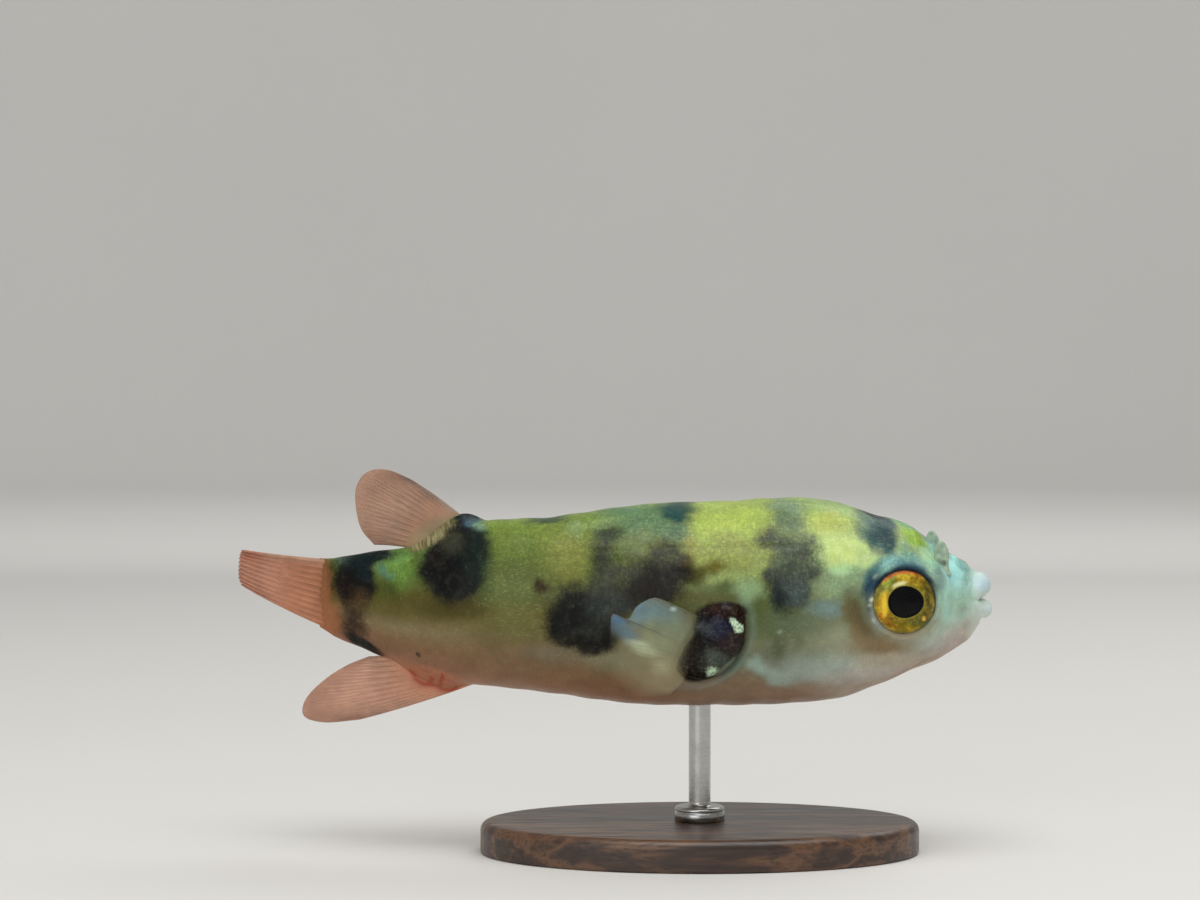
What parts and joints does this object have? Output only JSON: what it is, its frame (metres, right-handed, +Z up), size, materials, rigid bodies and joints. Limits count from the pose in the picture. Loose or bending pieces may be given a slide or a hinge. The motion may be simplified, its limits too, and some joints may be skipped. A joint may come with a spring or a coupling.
{
  "type": "south american pufferfish model",
  "caption": "Small banded freshwater pufferfish swimming with its tail bent, held on a rod above an oval base.",
  "frame": {"origin": "centre of the base's underside, straight below the rod", "axes": "+X towards the snout, +Y to the fish's left side, +Z up"},
  "size_m": [0.0766, 0.028, 0.0383],
  "materials": {
    "skin": "wet fish skin, yellow-green above with black saddles, pale below",
    "fin": "thin tan fin membrane, slightly see-through, with branched rays",
    "eye": "golden iris and black pupil under a clear cornea",
    "base_wood": "dark walnut with a satin varnish",
    "rod_steel": "fine turned steel"
  },
  "bodies": {
    "root": {"head": "skin", "trunk": "skin", "tail": "skin", "upper_lip": "skin", "lower_lip": "skin", "nasal_flap_left": "skin", "nasal_flap_right": "skin", "pectoral_base_left": "skin", "pectoral_base_right": "skin", "dorsal_fin": "fin", "anal_fin": "fin", "caudal_fin": "fin", "pectoral_fin_left": "fin", "pectoral_fin_right": "fin", "eye_left": "eye", "eye_right": "eye", "stand_base": "base_wood", "stand_rod": "rod_steel"}
  },
  "joints": []
}
